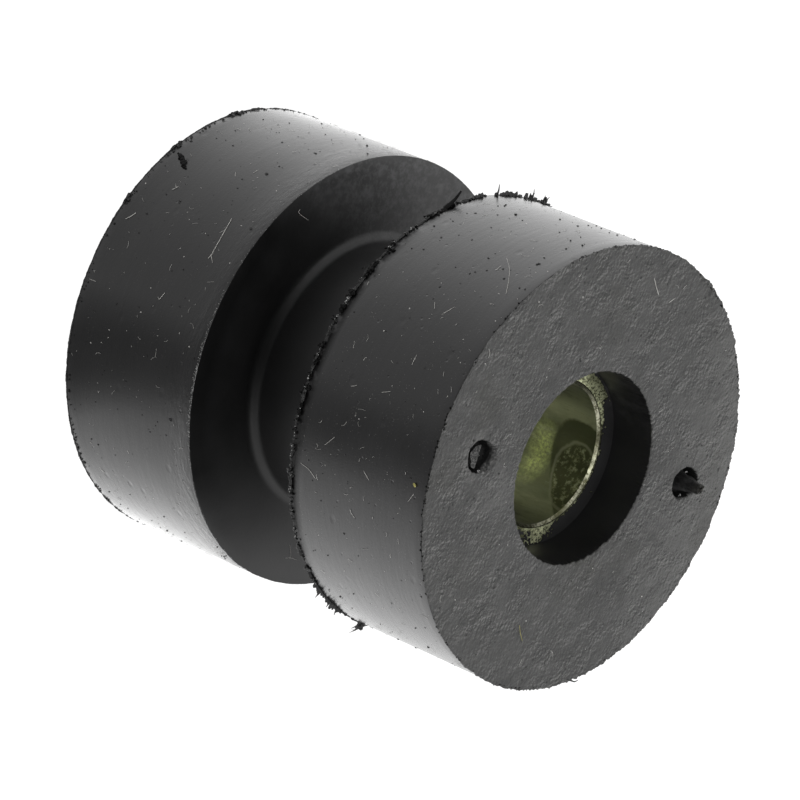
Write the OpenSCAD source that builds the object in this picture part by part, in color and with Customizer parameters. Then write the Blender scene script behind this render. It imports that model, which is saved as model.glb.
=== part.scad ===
// Spool-shaped anti-vibration mount: one moulded rubber body on a bonded steel sleeve.
// It stands on its lower disc, with the sleeve's axis along +Z and the origin at the centre of the lower face.

/* [Rubber discs] */
// Outer diameter of both discs
disc_d = 40; // [32:0.5:60]
// Thickness of each disc
disc_t = 15.75; // [10:0.25:24]

/* [Groove] */
// Width of the groove that grips the panel
groove_w = 12.5; // [4:0.5:24]
// Diameter of the neck at the bottom of the groove
neck_d = 24.5; // [22:0.5:30]
// Radius of the fillet at each end of the neck
neck_fillet_r = 1; // [0.3:0.1:2]

/* [Sleeve] */
// Diameter of the sleeve's bore, a clearance hole for the bolt
sleeve_bore_d = 13; // [8:0.5:14]
// Wall thickness of the sleeve
sleeve_wall = 2.5; // [2:0.1:3]
// Chamfer on the bore's edge at each end of the sleeve
sleeve_chamfer = 0.3; // [0.1:0.05:0.6]

/* [End recesses] */
// Depth of each sleeve end below the rubber's end face
recess_depth = 4.2; // [2.5:0.1:8]
// Width of the sleeve's end face that the rubber leaves bare
sleeve_land = 1.8; // [0.8:0.1:2]
// Draft of each recess's wall, in degrees
recess_draft = 6; // [0:0.5:15]

/* [Moulding gates] */
// Number of gate wells on the upper face
gate_count = 2; // [1:1:6]
// Diameter of the circle that the gate wells lie on
gate_circle_d = 28.8; // [24:0.2:34]
// Diameter of each gate well at the face
gate_well_d = 2.8; // [1.5:0.1:4]
// Depth of each gate well
gate_well_depth = 1.2; // [0.5:0.1:2]
// Diameter of the rubber stub left in each well
gate_stub_d = 1.2; // [0.5:0.1:1.4]
// How far below the face each stub was torn off
gate_stub_drop = 0.3; // [0.1:0.05:0.4]

/* [Hidden] */
$fn = 96;

// How far a cutting shape runs past the surface that it cuts
overrun = 1;
// Diameter of a gate well's floor, as a share of its mouth: the wells are cones
gate_floor_share = 0.7;

disc_r = disc_d / 2;
neck_r = neck_d / 2;
body_h = 2 * disc_t + groove_w;
groove_z = [disc_t, disc_t + groove_w];

sleeve_bore_r = sleeve_bore_d / 2;
sleeve_r = sleeve_bore_r + sleeve_wall;
sleeve_z = [recess_depth, body_h - recess_depth];
sleeve_l = sleeve_z[1] - sleeve_z[0];

recess_floor_r = sleeve_bore_r + sleeve_land;
recess_mouth_r = recess_floor_r + recess_depth * tan(recess_draft);

// Half section of the spool: two discs, the neck between them and the fillets at its roots
module spool_section() {
    difference() {
        square([disc_r, body_h]);
        translate([neck_r, groove_z[0]])
            groove_section();
    }
}

// Half section of the groove, open outwards, with its two inner corners rounded to the fillet's radius
module groove_section() {
    translate([neck_fillet_r, 0])
        square([disc_r - neck_r - neck_fillet_r + overrun, groove_w]);
    translate([0, neck_fillet_r])
        square([2 * neck_fillet_r, groove_w - 2 * neck_fillet_r]);
    for (z = [neck_fillet_r, groove_w - neck_fillet_r])
        translate([neck_fillet_r, z])
            circle(r = neck_fillet_r);
}

// Half section of the way through the rubber: a drafted recess at each end and the seat of the sleeve between
module core_section() {
    polygon([
        [0, 0],
        [recess_mouth_r, 0],
        [recess_floor_r, sleeve_z[0]],
        [sleeve_r, sleeve_z[0]],
        [sleeve_r, sleeve_z[1]],
        [recess_floor_r, sleeve_z[1]],
        [recess_mouth_r, body_h],
        [0, body_h]
    ]);
}

// Half section of the sleeve, with the bore's edges chamfered
module sleeve_section() {
    polygon([
        [sleeve_bore_r, sleeve_z[0] + sleeve_chamfer],
        [sleeve_bore_r + sleeve_chamfer, sleeve_z[0]],
        [sleeve_r, sleeve_z[0]],
        [sleeve_r, sleeve_z[1]],
        [sleeve_bore_r + sleeve_chamfer, sleeve_z[1]],
        [sleeve_bore_r, sleeve_z[1] - sleeve_chamfer]
    ]);
}

// One gate well seen from its mouth: a blind cone around the stub that tore off inside it
module gate_well() {
    well_r = gate_well_d / 2;
    difference() {
        translate([0, 0, -gate_well_depth])
            cylinder(h = gate_well_depth, r1 = well_r * gate_floor_share, r2 = well_r);
        translate([0, 0, -gate_well_depth - overrun])
            cylinder(h = gate_well_depth + overrun - gate_stub_drop, d = gate_stub_d);
    }
}

module rubber_body() {
    color("#2b2b2d")
        difference() {
            rotate_extrude()
                difference() {
                    spool_section();
                    core_section();
                }
            for (i = [0 : gate_count - 1])
                rotate(i * 360 / gate_count)
                    translate([gate_circle_d / 2, 0, body_h])
                        gate_well();
        }
}

module inner_sleeve() {
    color("#8c8a4e")
        rotate_extrude()
            sleeve_section();
}

rubber_body();
inner_sleeve();
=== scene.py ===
"""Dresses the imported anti-vibration mount: torn moulded rubber, a zinc-plated sleeve, lint and dust."""

import math
import random

import bpy
from mathutils import Matrix, Vector, noise


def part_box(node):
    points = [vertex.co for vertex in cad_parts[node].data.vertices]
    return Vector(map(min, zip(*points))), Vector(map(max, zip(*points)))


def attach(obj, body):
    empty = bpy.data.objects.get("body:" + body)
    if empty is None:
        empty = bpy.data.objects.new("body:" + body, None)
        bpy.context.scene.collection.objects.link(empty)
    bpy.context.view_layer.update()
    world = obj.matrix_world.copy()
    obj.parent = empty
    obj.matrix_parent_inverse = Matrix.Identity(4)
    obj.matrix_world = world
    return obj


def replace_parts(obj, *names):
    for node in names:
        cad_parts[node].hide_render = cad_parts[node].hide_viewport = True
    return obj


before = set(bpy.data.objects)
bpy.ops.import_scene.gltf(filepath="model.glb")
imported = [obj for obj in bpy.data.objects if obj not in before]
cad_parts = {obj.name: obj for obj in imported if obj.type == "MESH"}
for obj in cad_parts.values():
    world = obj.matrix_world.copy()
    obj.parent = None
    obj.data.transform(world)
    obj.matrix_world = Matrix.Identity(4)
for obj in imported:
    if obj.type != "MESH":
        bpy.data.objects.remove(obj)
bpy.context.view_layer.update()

# Sizes of the part, in millimetres: the outer ones are the frame's, the section's own repeat the CAD values
MM = 0.001
RUBBER_LOW, RUBBER_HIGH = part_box("rubber_body")
SLEEVE_LOW, SLEEVE_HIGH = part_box("inner_sleeve")
DISC_R = RUBBER_HIGH.x / MM
BODY_H = RUBBER_HIGH.z / MM
SLEEVE_R = SLEEVE_HIGH.x / MM
SLEEVE_FOOT = SLEEVE_LOW.z / MM
SLEEVE_TOP = SLEEVE_HIGH.z / MM
DISC_T = 15.75
GROOVE_LOW = DISC_T
GROOVE_HIGH = BODY_H - DISC_T
NECK_R = 12.25
NECK_FILLET = 1.0
BORE_R = 6.5
BORE_CHAMFER = 0.3
RECESS_FLOOR_R = 8.3
RECESS_MOUTH_R = 8.74

# Gate wells on the upper face: angle in degrees, the torn opening's reach to -X, +X, +Y and -Y, and how far
# its +X side slopes
GATE_R = 14.4
WELL_DEPTH = 1.2
GATE_HIGH_ANGLE = 0.0
GATE_LOW_ANGLE = 180.0
GATE_OPENINGS = ((GATE_HIGH_ANGLE, 1.75, 1.9, 1.5, 1.5, 1.9), (GATE_LOW_ANGLE, 1.5, 1.5, 1.25, 1.7, 2.6))
GATE_REACH = 2.6

# Edges of the moulding
RIM_ROUND = 0.14
GROOVE_ROUND = 0.06
MOUTH_ROUND = 0.12
FACE_CROWN = 0.08

# Camera of the photograph: a long lens above the part, rolled so that the part's axis lies across the picture
CAMERA_AIM = Vector((0.0, -0.66, 22.12)) * MM
CAMERA_DISTANCE = 0.5033
CAMERA_AZIMUTH = 171.0
CAMERA_ELEVATION = 39.15
CAMERA_ROLL = 112.672
CAMERA_LENS = 255.9
SENSOR_WIDTH = 36.0
IMAGE_SIZE = 800.0
FOCAL_PIXELS = CAMERA_LENS / SENSOR_WIDTH * IMAGE_SIZE

# Places where the upper disc's groove edge is torn back: angle, half width in degrees, depth in millimetres
RIM_BITES = (
    (110, 2, 0.10), (126, 3, 0.10), (139, 2.5, 0.08), (149, 3, 0.12),
    (155, 3, 0.12), (172, 3, 0.10), (181, 3.5, 0.12), (204, 4, 0.10), (230, 5, 0.06),
)

# Flash on the upper disc's groove edge. Tufts: angle, half width in degrees, height in millimetres
GROOVE_TUFTS = (
    (121, 1.6, 0.22), (117.4, 1.3, 0.36), (112.6, 1, 0.10), (110.2, 0.6, 0.14), (106.6, 1.1, 0.18),
    (104.6, 1, 0.32), (98.9, 0.6, 0.22), (96.4, 1, 0.20), (94.2, 1.4, 0.32), (91.8, 1.2, 0.38),
    (89.6, 0.8, 0.26), (87.2, 0.7, 0.52), (85.4, 0.7, 0.70), (83.4, 0.8, 0.40), (82, 0.6, 0.26),
    (79.7, 0.9, 0.95), (78, 1, 0.40),
    (133, 1.6, 0.16), (146.8, 1, 0.30), (153, 2, 0.14), (164, 1.5, 0.12), (171.4, 1.2, 0.20),
    (180.5, 1.5, 0.22), (187, 1.2, 0.14), (203, 2, 0.18), (224, 2, 0.16), (233, 1.6, 0.28),
    (237.6, 1.8, 0.40), (241, 1, 0.30), (243.6, 1, 0.40), (246.6, 1.5, 0.46), (249.6, 1.2, 0.34),
    (40, 9, 0.40), (335, 12, 0.35), (295, 8, 0.30), (300, 50, 0.07), (38, 32, 0.07),
)
# A stretch of that edge without flash: angle and half width in degrees
FLASH_GAP = (100.8, 1.45)
NO_GAP = (0, 0)
# Lumps that fill a block of flash: angle, distance out and size in millimetres
FLASH_BLOCK = (
    (80.6, 0.18, 0.18), (79.9, 0.22, 0.22), (79.5, 0.45, 0.20), (79.2, 0.20, 0.18), (79.7, 0.62, 0.14),
    (78.6, 0.16, 0.15), (259.8, 0.22, 0.26), (260.3, 0.42, 0.22),
)
# Clumps of torn crumbs on that edge: angle and size of the largest crumb in millimetres
EDGE_CLUMPS = (
    (119.5, 0.22), (122.5, 0.18), (129, 0.12), (136.7, 0.22), (143.6, 0.27), (146.8, 0.25), (153.5, 0.27),
    (156.9, 0.20), (161, 0.10), (169.4, 0.20), (171.6, 0.20), (175.5, 0.10), (179.1, 0.22), (184.7, 0.22),
    (190, 0.12), (195, 0.16), (200.5, 0.18), (206, 0.12), (212, 0.17), (218, 0.14), (224.6, 0.20),
    (230, 0.18), (234.8, 0.22),
)
CLUMP_CRUMBS = 9
# From this angle on they are grey and not black
GREY_EDGE = 194.0
# Blades torn out of that flash: angle, length, width, lean along the rim, lift, in degrees and millimetres
GROOVE_SHARDS = (
    (98.4, 1.10, 0.22, 0.10, 0.1), (85.6, 0.75, 0.34, -0.2, 0.15), (84.7, 1.10, 0.24, 0.10, -0.1),
    (79.8, 1.00, 0.60, -0.30, 0.1), (77.6, 0.45, 0.45, -0.5, 0), (92.2, 0.45, 0.50, -0.4, 0.1),
    (239.2, 0.80, 0.40, 0.30, -0.3), (244.4, 0.70, 0.40, 0.25, -0.2), (248.2, 0.75, 0.45, 0.30, -0.2),
    (259.2, 0.95, 0.55, 0.05, -0.75), (260, 1.35, 0.60, 0.00, -1.00), (260.9, 1.05, 0.60, -0.1, -0.95),
    (260, 0.80, 1.20, 0.00, -0.62), (260.8, 0.70, 0.90, 0.00, -0.60), (259.4, 0.60, 0.90, 0.00, -0.50),
)
# A strip of flash torn loose at one end, as angle and radius along it
TORN_FLAP = ((118.8, 19.85), (117.2, 20.05), (115.4, 20.25), (113.6, 20.52), (111.9, 21))
FLAP_RADII = (0.15, 0.20, 0.18, 0.16, 0.10)
# Tufts of flash on the other rims
UPPER_TUFTS = ((0, 60, 0.16), (300, 40, 0.14))
LOWER_TUFTS = ((108, 6, 0.15), (132, 2, 0.18), (152, 1.5, 0.18))
SEAT_TUFTS = ((235, 20, 0.08),)
# Half of the flash's thickness at its edge, and the share of its width that a blade keeps at its tip
FLASH_HALF = 0.012
SHARD_TIP = 0.06
# Range of the seeds that give crumbs their shapes
SEEDS = (0, 50)

# Bits on the other rims, placed by pixels of the photograph
RIM_HAIR = ((565, 676), (567.5, 678.3), (570.5, 680.4), (574.2, 681.8), (577.9, 680.4))
HAIR_RADII = (0.05, 0.08, 0.08, 0.06, 0.03)
FLAP_CRUMBS = (((446, 212), 0.26), ((449.5, 210), 0.24), ((453, 209), 0.20), ((457, 208.5), 0.14))
NICK_CRUMBS = (
    ((178.4, 153.4), 0.13), ((180, 155.2), 0.20), ((181.4, 157.4), 0.26), ((182.4, 159.8), 0.30),
    ((183, 162.2), 0.32), ((183.6, 164.6), 0.26), ((184.4, 166.8), 0.20), ((185.6, 168.4), 0.14),
    ((179.6, 158.6), 0.16), ((185.4, 163), 0.20),
)
# Pale lumps that stand in for glints, as painted highlights: on the torn edge, and round points by the gates
EDGE_GLINTS = 170
GATE_GLINT_COUNT = 5
GLINT_SIZES = (0.025, 0.06)
DUSTY_RIM_BITS = 700
GATE_GLINTS = (((686.4, 472.3), -0.3), ((679.5, 495.9), -0.3), ((682, 496.8), -0.3), ((478.4, 471.5), 0.03))
LOWER_RIM_CRUMBS = (
    ((177.3, 146), 0.20), ((191, 141), 0.15), ((204, 126), 0.16), ((208, 123.5), 0.14), ((222, 118), 0.14),
    ((232, 113.5), 0.18), ((238, 113.5), 0.22), ((242, 113.5), 0.14), ((126.7, 198.3), 0.18),
    ((106.7, 235.7), 0.13), ((313, 115), 0.15), ((316.5, 116), 0.13),
)

# What lies on the rubber, placed by pixels of the photograph; thicknesses in millimetres
SEEN_FIBRES = (
    (((231.8, 219), (221, 238), (211.4, 255.4), (208.2, 258.6)), 0.018),
    (((211.4, 255.4), (212.7, 263)), 0.016),
    (((126, 219), (131, 216.5), (136, 213)), 0.018),
    (((172, 190), (176.5, 188), (178.5, 186.5)), 0.015),
    (((176.5, 188), (175.5, 184)), 0.013),
    (((158, 297), (159.5, 299.5), (165, 293)), 0.015),
    (((89.6, 279), (96, 281.5)), 0.014),
    (((235.6, 172.5), (235.2, 176.5)), 0.014),
    (((506.7, 258.3), (509.8, 270), (508.8, 281.2), (506.2, 294)), 0.020),
    (((442.4, 314.4), (454.7, 307.2)), 0.013),
    (((435, 302), (434.6, 309)), 0.013),
    (((412, 365), (417, 355)), 0.015),
    (((382, 392.5), (391, 391.5)), 0.014),
    (((351, 386.5), (357, 385.5)), 0.014),
    (((325, 445), (335, 437)), 0.013),
    (((301, 463), (309, 469), (316, 479)), 0.015),
    (((364, 471), (369, 480)), 0.014),
    (((408, 502), (414, 494)), 0.013),
    (((300, 209.5), (298, 211.5), (300, 214.5), (308, 220)), 0.011),
    (((285, 558), (290, 557.5), (297, 560)), 0.010),
    (((290, 557.5), (290.5, 551), (289.5, 545)), 0.010),
    (((654, 278), (656, 287), (658.5, 295)), 0.017),
    (((668, 303), (675, 298)), 0.016),
)
SEEN_SPECKS = (
    (145.7, 183.3), (187.5, 212.4), (205.4, 233.3), (276.4, 190.7), (184, 256.7), (535.8, 272.5),
    (498.6, 293.5), (495.5, 321), (539, 302), (526, 621), (600, 348), (583, 297),
)
SEEN_CRUMBS = (
    ((191, 141), 0.13), ((233, 145.7), 0.11),
    ((267, 174), 0.17), ((251, 228.6), 0.14), ((180, 201), 0.12), ((220, 160), 0.08),
    ((516, 214.7), 0.15), ((504.7, 206), 0.10), ((472, 240), 0.10), ((441.4, 237.5), 0.10),
    ((488.4, 258.3), 0.12), ((495.3, 253.7), 0.08), ((503, 269), 0.11), ((503.9, 278.7), 0.11),
    ((440, 286.8), 0.13), ((539, 264), 0.12), ((519.5, 288), 0.09), ((566, 248.6), 0.09),
    ((170, 420), 0.16), ((150, 432), 0.09), ((363, 268), 0.15),
)
YELLOW_FIBRES = (
    (((519, 625), (520, 633), (522, 641)), 0.022),
    (((414.5, 483), (416, 487)), 0.09),
)
STRAY_FIBRES = 640
STRAY_SPECKS = 360
STRAY_CRUMBS = 1000
FIBRE_BODY = 1.25
FACE_SHARE = 0.05
SPECK_SIZE = 0.055

# Bare patches in the rubber film on the sleeve's end faces: angle and half width in degrees, outer radius,
# and how bare
BARE_PATCHES = ((70, 26, 8.1, 0.95), (40, 14, 7.3, 0.7), (281, 18, 8.3, 0.62))
BARE_PATCHES_BELOW = ((120, 30, 8, 0.9), (200, 18, 7.6, 0.8))

ZONE_SIDE, ZONE_END, ZONE_GROOVE, ZONE_RECESS, ZONE_WELL = range(5)
BORE_WALL, SLEEVE_LAND, SLEEVE_EDGE, SLEEVE_GRIME = range(4)
UP = Vector((0.0, 0.0, 1.0))

# Colours
RUBBER = (0.004, 0.004, 0.0044)
RUBBER_DUSTY = (0.010, 0.0097, 0.0104)
RUBBER_DUST_GRAIN = (0.17, 0.165, 0.16)
RUBBER_FACE = (0.052, 0.052, 0.051)
# Painted light on the end faces: the relief's lit side, sheen towards the +X rim and highlights by the low
# gate
RUBBER_FACE_LIT = (0.19, 0.189, 0.184)
RUBBER_FACE_DEEP = (0.006, 0.006, 0.006)
RUBBER_DEEP = (0.0042, 0.0042, 0.0043)
# Painted shade in the groove on its -X side
RUBBER_GROOVE_SHADE = (0.0015, 0.0015, 0.0015)
RUBBER_TORN = (0.006, 0.006, 0.006)
RUBBER_OLIVE = (0.027, 0.0265, 0.021)
RUBBER_PALE = (0.13, 0.13, 0.127)
RUBBER_GLOSS = 0.5
HOLLOW_GLOSS = 0.05
ZINC_FLECK = (0.05, 0.05, 0.02)
BORE_PALE = (0.32, 0.337, 0.25)
BORE_DEEP = (0.24, 0.254, 0.184)
BORE_LIME = (0.88, 0.96, 0.46)
# Pale streaks in the plating, and painted light on the bore's wall
BORE_STREAK_AND_LIT = (0.97, 0.98, 0.83)
# Painted reflection in the bore: its dark oval, the mottled patch inside it and the pale ring
BORE_REFLECTION_DARK = (0.122, 0.127, 0.086)
REFLECTION_PALE = (0.66, 0.68, 0.49)
REFLECTION_DEEP = (0.12, 0.125, 0.082)
REFLECTION_RING_PALE = (0.56, 0.57, 0.46)
FLOOR_GREY = (0.30, 0.30, 0.30, 1.0)
WHITE = (1.0, 1.0, 1.0, 1.0)

# What the floor sends out besides the light that it scatters: to the camera, and to rays that a surface
# mirrors. For mirrored rays it glows in painted pools of light beside the part, below the side softboxes,
# with painted shade in the gap between the pools and a painted shadow behind the part.
FLOOR_HALF = 3.0
FLOOR_SEEN = 0.86
FLOOR_PLAIN = 0.58
FLOOR_POOL = 1.32
POOL_AXIS = 171.0
GAP_ANGLE = 195.0
GAP_SHADE = 0.82
BEHIND_SHADE = 0.3

# The room: its light on matt surfaces, and where it is dim for mirrored rays
ROOM_LIGHT = 0.25
DIM_AZIMUTH = 178.0
DIM_ELEVATION = 30.0

# Places of the colour sockets in a Mix node
MIX_FIRST, MIX_SECOND, MIX_RESULT = 6, 7, 2


def direction(azimuth, elevation):
    """A unit vector from its azimuth and elevation in degrees."""
    turn, lift = math.radians(azimuth), math.radians(elevation)
    return Vector((math.cos(lift) * math.cos(turn), math.cos(lift) * math.sin(turn), math.sin(lift)))


def camera_axes():
    """The camera's right, up and back directions."""
    back = direction(CAMERA_AZIMUTH, CAMERA_ELEVATION)
    roll = math.radians(CAMERA_ROLL)
    level = (-back).cross(UP).normalized()
    upright = level.cross(-back)
    right = level * math.cos(roll) + upright * math.sin(roll)
    up = upright * math.cos(roll) - level * math.sin(roll)
    return right, up, back


def polar(radius, degrees, z):
    """A point in millimetres from its radius and angle about the axis."""
    turn = math.radians(degrees)
    return (radius * math.cos(turn), radius * math.sin(turn), z)


def outward(degrees):
    """The way out from the axis at an angle."""
    return Vector(polar(1.0, degrees, 0.0))


def turn_between(angle, centre):
    """How far an angle lies past another, from -180 to 180 degrees."""
    return (angle - centre + 180.0) % 360.0 - 180.0


def smooth_step(low, high, value):
    """0 below low, 1 above high, and a smooth rise between them."""
    share = min(1.0, max(0.0, (value - low) / (high - low)))
    return share * share * (3.0 - 2.0 * share)


def waver(x, y, scale, seed):
    """Smooth noise from about -1 to 1 that changes over about one over scale."""
    return noise.noise((x * scale, y * scale, seed))


def tinted(colour, factor):
    """A colour made darker or paler by a factor."""
    return tuple(factor * c for c in colour)


def add_piece(name, points, faces, materials, face_materials=None, crease=38.0):
    """A closed mesh piece of the part, from points in millimetres. It rides on the part's one body."""
    mesh = bpy.data.meshes.new(name)
    mesh.from_pydata([(x * MM, y * MM, z * MM) for x, y, z in points], [], faces)
    for material in materials:
        mesh.materials.append(material)
    if face_materials:
        mesh.polygons.foreach_set("material_index", face_materials)
    mesh.polygons.foreach_set("use_smooth", [True] * len(mesh.polygons))
    mesh.set_sharp_from_angle(angle=math.radians(crease))
    mesh.update()
    piece = bpy.data.objects.new(name, mesh)
    bpy.context.collection.objects.link(piece)
    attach(piece, "root")
    return piece


def grid_faces(rows, columns, close_rows=True):
    """Quads of a grid whose columns close into a ring, and whose rows may close too."""
    faces = []
    for row in range(rows if close_rows else rows - 1):
        here, above = row * columns, (row + 1) % rows * columns
        for column in range(columns):
            beside = (column + 1) % columns
            faces.append((here + column, here + beside, above + beside, above + column))
    return faces


def stack_faces(rows, columns):
    """Faces of a closed body made of rings of points, one above the other."""
    ends = [tuple(reversed(range(columns))), tuple(range((rows - 1) * columns, rows * columns))]
    return grid_faces(rows, columns, False) + ends


def flipped(faces):
    """Faces turned inside out."""
    return [tuple(reversed(face)) for face in faces]


class Outline(list):
    """A turned section, point by point: radius, height and the zone of the stretch that follows."""

    def line(self, zone, start, end, count):
        """Adds a straight stretch, without its end point."""
        for step in range(count):
            share = step / count
            radius = start[0] + (end[0] - start[0]) * share
            self.append((radius, start[1] + (end[1] - start[1]) * share, zone))

    def arc(self, zone, centre, radius, first, last, count):
        """Adds an arc between two angles in degrees, without its end point."""
        for step in range(count):
            turn = math.radians(first + (last - first) * step / count)
            self.append((centre[0] + radius * math.cos(turn), centre[1] + radius * math.sin(turn), zone))


class Flow:
    """An output of a new shader node; sums and products of flows make Math nodes."""

    def __init__(self, tree, kind, output, inputs=None, **settings):
        """Adds the node, and sets its inputs to values or links them to other flows."""
        node = tree.nodes.new("ShaderNode" + kind)
        for key, value in settings.items():
            setattr(node, key, value)
        for key, value in (inputs or {}).items():
            set_socket(tree, node.inputs[key], value)
        self.tree = tree
        self.socket = node.outputs[output]

    def math(self, operation, other=0.0):
        return Flow(self.tree, "Math", 0, {0: self, 1: other}, operation=operation)

    def __add__(self, other):
        return self.math("ADD", other)

    def __sub__(self, other):
        return self.math("SUBTRACT", other)

    def __rsub__(self, number):
        return Flow(self.tree, "Math", 0, {0: number, 1: self}, operation="SUBTRACT")

    def __mul__(self, other):
        return self.math("MULTIPLY", other)

    def __abs__(self):
        return self.math("ABSOLUTE")

    def __pow__(self, power):
        return self.math("POWER", power)

    def most(self, other):
        """The larger of two values."""
        return self.math("MAXIMUM", other)

    def vector(self, operation, other=(0.0, 0.0, 0.0), output="Vector"):
        """The result of a Vector Math node."""
        return Flow(self.tree, "VectorMath", output, {0: self, 1: other}, operation=operation)

    def length(self):
        return self.vector("LENGTH", output="Value")

    def axis(self, name):
        """The X, Y or Z of a vector."""
        return Flow(self.tree, "SeparateXYZ", name, {0: self})

    def turn(self):
        """The angle of a place about the axis, in radians."""
        return self.axis("Y").math("ARCTAN2", self.axis("X"))

    def turned(self, radians):
        """A place turned about the axis."""
        return Flow(self.tree, "Mapping", "Vector", {"Vector": self, "Rotation": (0.0, 0.0, radians)})

    def remap(self, low, high, new_low, new_high):
        """A value carried linearly from one range onto another, and kept there."""
        inputs = {"Value": self, "From Min": low, "From Max": high, "To Min": new_low, "To Max": new_high}
        return Flow(self.tree, "MapRange", "Result", inputs, clamp=True)

    def rise(self, low, high):
        """0 at low and 1 at high."""
        return self.remap(low, high, 0.0, 1.0)

    def spread(self, low, high):
        """A value from 0 to 1 carried onto the range low to high."""
        return self.remap(0.0, 1.0, low, high)

    def clouds(self, scale, detail=3.0, roughness=0.55):
        """Soft noise from 0 to 1 at a place, with features about one over scale millimetres wide."""
        inputs = {"Vector": self, "Scale": scale, "Detail": detail, "Roughness": roughness}
        return Flow(self.tree, "TexNoise", "Fac", inputs)

    def spots(self, scale, radius, edge=0.05):
        """1 inside round spots scattered about one to a cell, 0 between them."""
        cell = Flow(self.tree, "TexVoronoi", "Distance", {"Vector": self, "Scale": scale})
        return cell.rise(radius + edge, radius)


def set_socket(tree, socket, value):
    """Links a flow to an input, or sets the input to a value."""
    if isinstance(value, Flow):
        tree.links.new(value.socket, socket)
    else:
        socket.default_value = value


def new_material(name):
    """A material and its node tree."""
    material = bpy.data.materials.new(name)
    material.use_nodes = True
    return material, material.node_tree


def shade(material, **values):
    """Sets or links the sockets of a material's shader, named with underscores for spaces."""
    tree = material.node_tree
    for key, value in values.items():
        set_socket(tree, tree.nodes["Principled BSDF"].inputs[key.replace("_", " ")], value)
    return material


def millimetres(tree, stretch=(1.0, 1.0, 1.0), turn=0.0):
    """The surface's own coordinates in millimetres, turned about the axis by degrees and stretched."""
    place = Flow(tree, "TexCoord", "Object").turned(math.radians(turn))
    return place.vector("MULTIPLY", tuple(factor / MM for factor in stretch))


def around_axis(tree, stretch):
    """Coordinates that run round the axis, out from it and along it, in millimetres, with the seam at +X."""
    place = millimetres(tree)
    arc = place.axis("Y").math("ARCTAN2", place.axis("X") * -1.0) * DISC_R
    joined = Flow(tree, "CombineXYZ", 0, {"X": arc, "Y": place.length(), "Z": place.axis("Z")})
    return joined.vector("MULTIPLY", stretch)


def blend(share, first, second):
    """Two colours mixed by a share from 0 to 1."""
    first, second = (c if isinstance(c, Flow) else (*c, 1.0) for c in (first, second))
    inputs = {0: share, MIX_FIRST: first, MIX_SECOND: second}
    return Flow(share.tree, "Mix", MIX_RESULT, inputs, data_type="RGBA")


def bump(height, distance, strength, normal=None):
    """A bumped normal from a height of 0 to 1 that stands for a distance in millimetres."""
    inputs = {"Height": height, "Distance": distance * MM, "Strength": strength}
    if normal:
        inputs["Normal"] = normal
    return Flow(height.tree, "Bump", "Normal", inputs)


def rubber_side_material():
    """Smooth moulded rubber of the discs' sides: streaks round the disc, haze, smears, pits, dust, and
    painted shade beside the torn groove edge.
    """
    material, tree = new_material("rubber_side")
    place = millimetres(tree)
    across, along, height = (place.axis(name) for name in "XYZ")
    haze = place.clouds(0.16, 4.0)
    streaks = around_axis(tree, (0.30, 1.0, 1.3)).clouds(1.0, 4.0, 0.62)
    smears = around_axis(tree, (0.45, 1.0, 0.8)).clouds(1.0, 5.0, 0.66)
    folds = around_axis(tree, (0.8, 1.0, 2.2)).clouds(1.0, 5.0, 0.68)
    pits = place.spots(0.62, 0.05, 0.04)
    dents = millimetres(tree, (1.0, 1.0, 1.3), 55.0).spots(0.30, 0.03, 0.12)
    near_rim = height.rise(12.0, 14.8) * height.rise(16.2, 16.0)
    near_side = across.rise(-12.0, -18.0) * height.rise(DISC_T, GROOVE_HIGH)
    dust = millimetres(tree, turn=30.0).spots(4.2, 0.10, 0.10) * smears.rise(0.48, 0.62)
    # Painted shade, with less gloss, in patches on the side just above the torn groove edge towards -X
    torn = height.rise(GROOVE_HIGH + 1.25, GROOVE_HIGH + 0.45)
    torn = torn * height.rise(GROOVE_HIGH - 0.3, GROOVE_HIGH - 0.1)
    worn = place.clouds(0.7, 4.0).rise(0.36, 0.52).most(along.rise(0.0, -6.0) * 0.9)
    torn = torn * worn * across.rise(-4.0, -9.0)
    tint = blend(haze.rise(0.35, 0.72), RUBBER, RUBBER_DUSTY)
    tint = blend(streaks.rise(0.5, 0.75) * 0.5, tint, RUBBER_DUSTY)
    tint = blend(smears.rise(0.46, 0.30) * 0.45, tint, RUBBER_DEEP)
    tint = blend(dust * near_side.spread(0.30, 0.85), tint, RUBBER_DUST_GRAIN)
    tint = blend(pits, tint, RUBBER_DEEP)
    tint = blend(torn, tint, RUBBER_DEEP)
    normal = bump(streaks, 0.045, 0.55)
    normal = bump(folds * near_rim, 0.12, 0.8, normal)
    normal = bump(place.clouds(6.0, 2.0, 0.6), 0.02, 0.6, normal)
    normal = bump(1.0 - dents, 0.04, 0.6, normal)
    normal = bump(1.0 - pits, 0.05, 0.6, normal)
    facing = Flow(tree, "LayerWeight", "Facing", {"Blend": 0.5, "Normal": normal})
    roughness = haze.spread(0.24, 0.36) * facing.rise(0.55, 0.92).spread(1.0, 0.5)
    return shade(material, Base_Color=tint, Normal=normal, Roughness=roughness,
                 Specular_IOR_Level=torn.spread(RUBBER_GLOSS, HOLLOW_GLOSS))


def relief(place, scale, detail, toward):
    """Light and shade on a noise relief, about -0.3 to 0.3: how the noise changes over a short way."""
    return place.clouds(scale, detail) - place.vector("ADD", toward).clouds(scale, detail)


def gate_lip_light(place):
    """1 along the low gate's outer lip and on a mound behind it, where the face takes a painted highlight, 0
    elsewhere.
    """
    share = 0.0
    lip, mound = ((-GATE_R, -0.2), 1.4, 2.4, 0.2, -0.6), ((-10.4, -3.0), -1.0, 2.8, 9.0, 8.0)
    for centre, near, far, east, west in (lip, mound):
        offset = place.vector("SUBTRACT", (*centre, BODY_H))
        away = offset.length()
        ring = away.rise(near, near + 0.3) * away.rise(far, near + 0.4)
        share = (ring * offset.axis("X").rise(east, west)).most(share)
    return share


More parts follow.
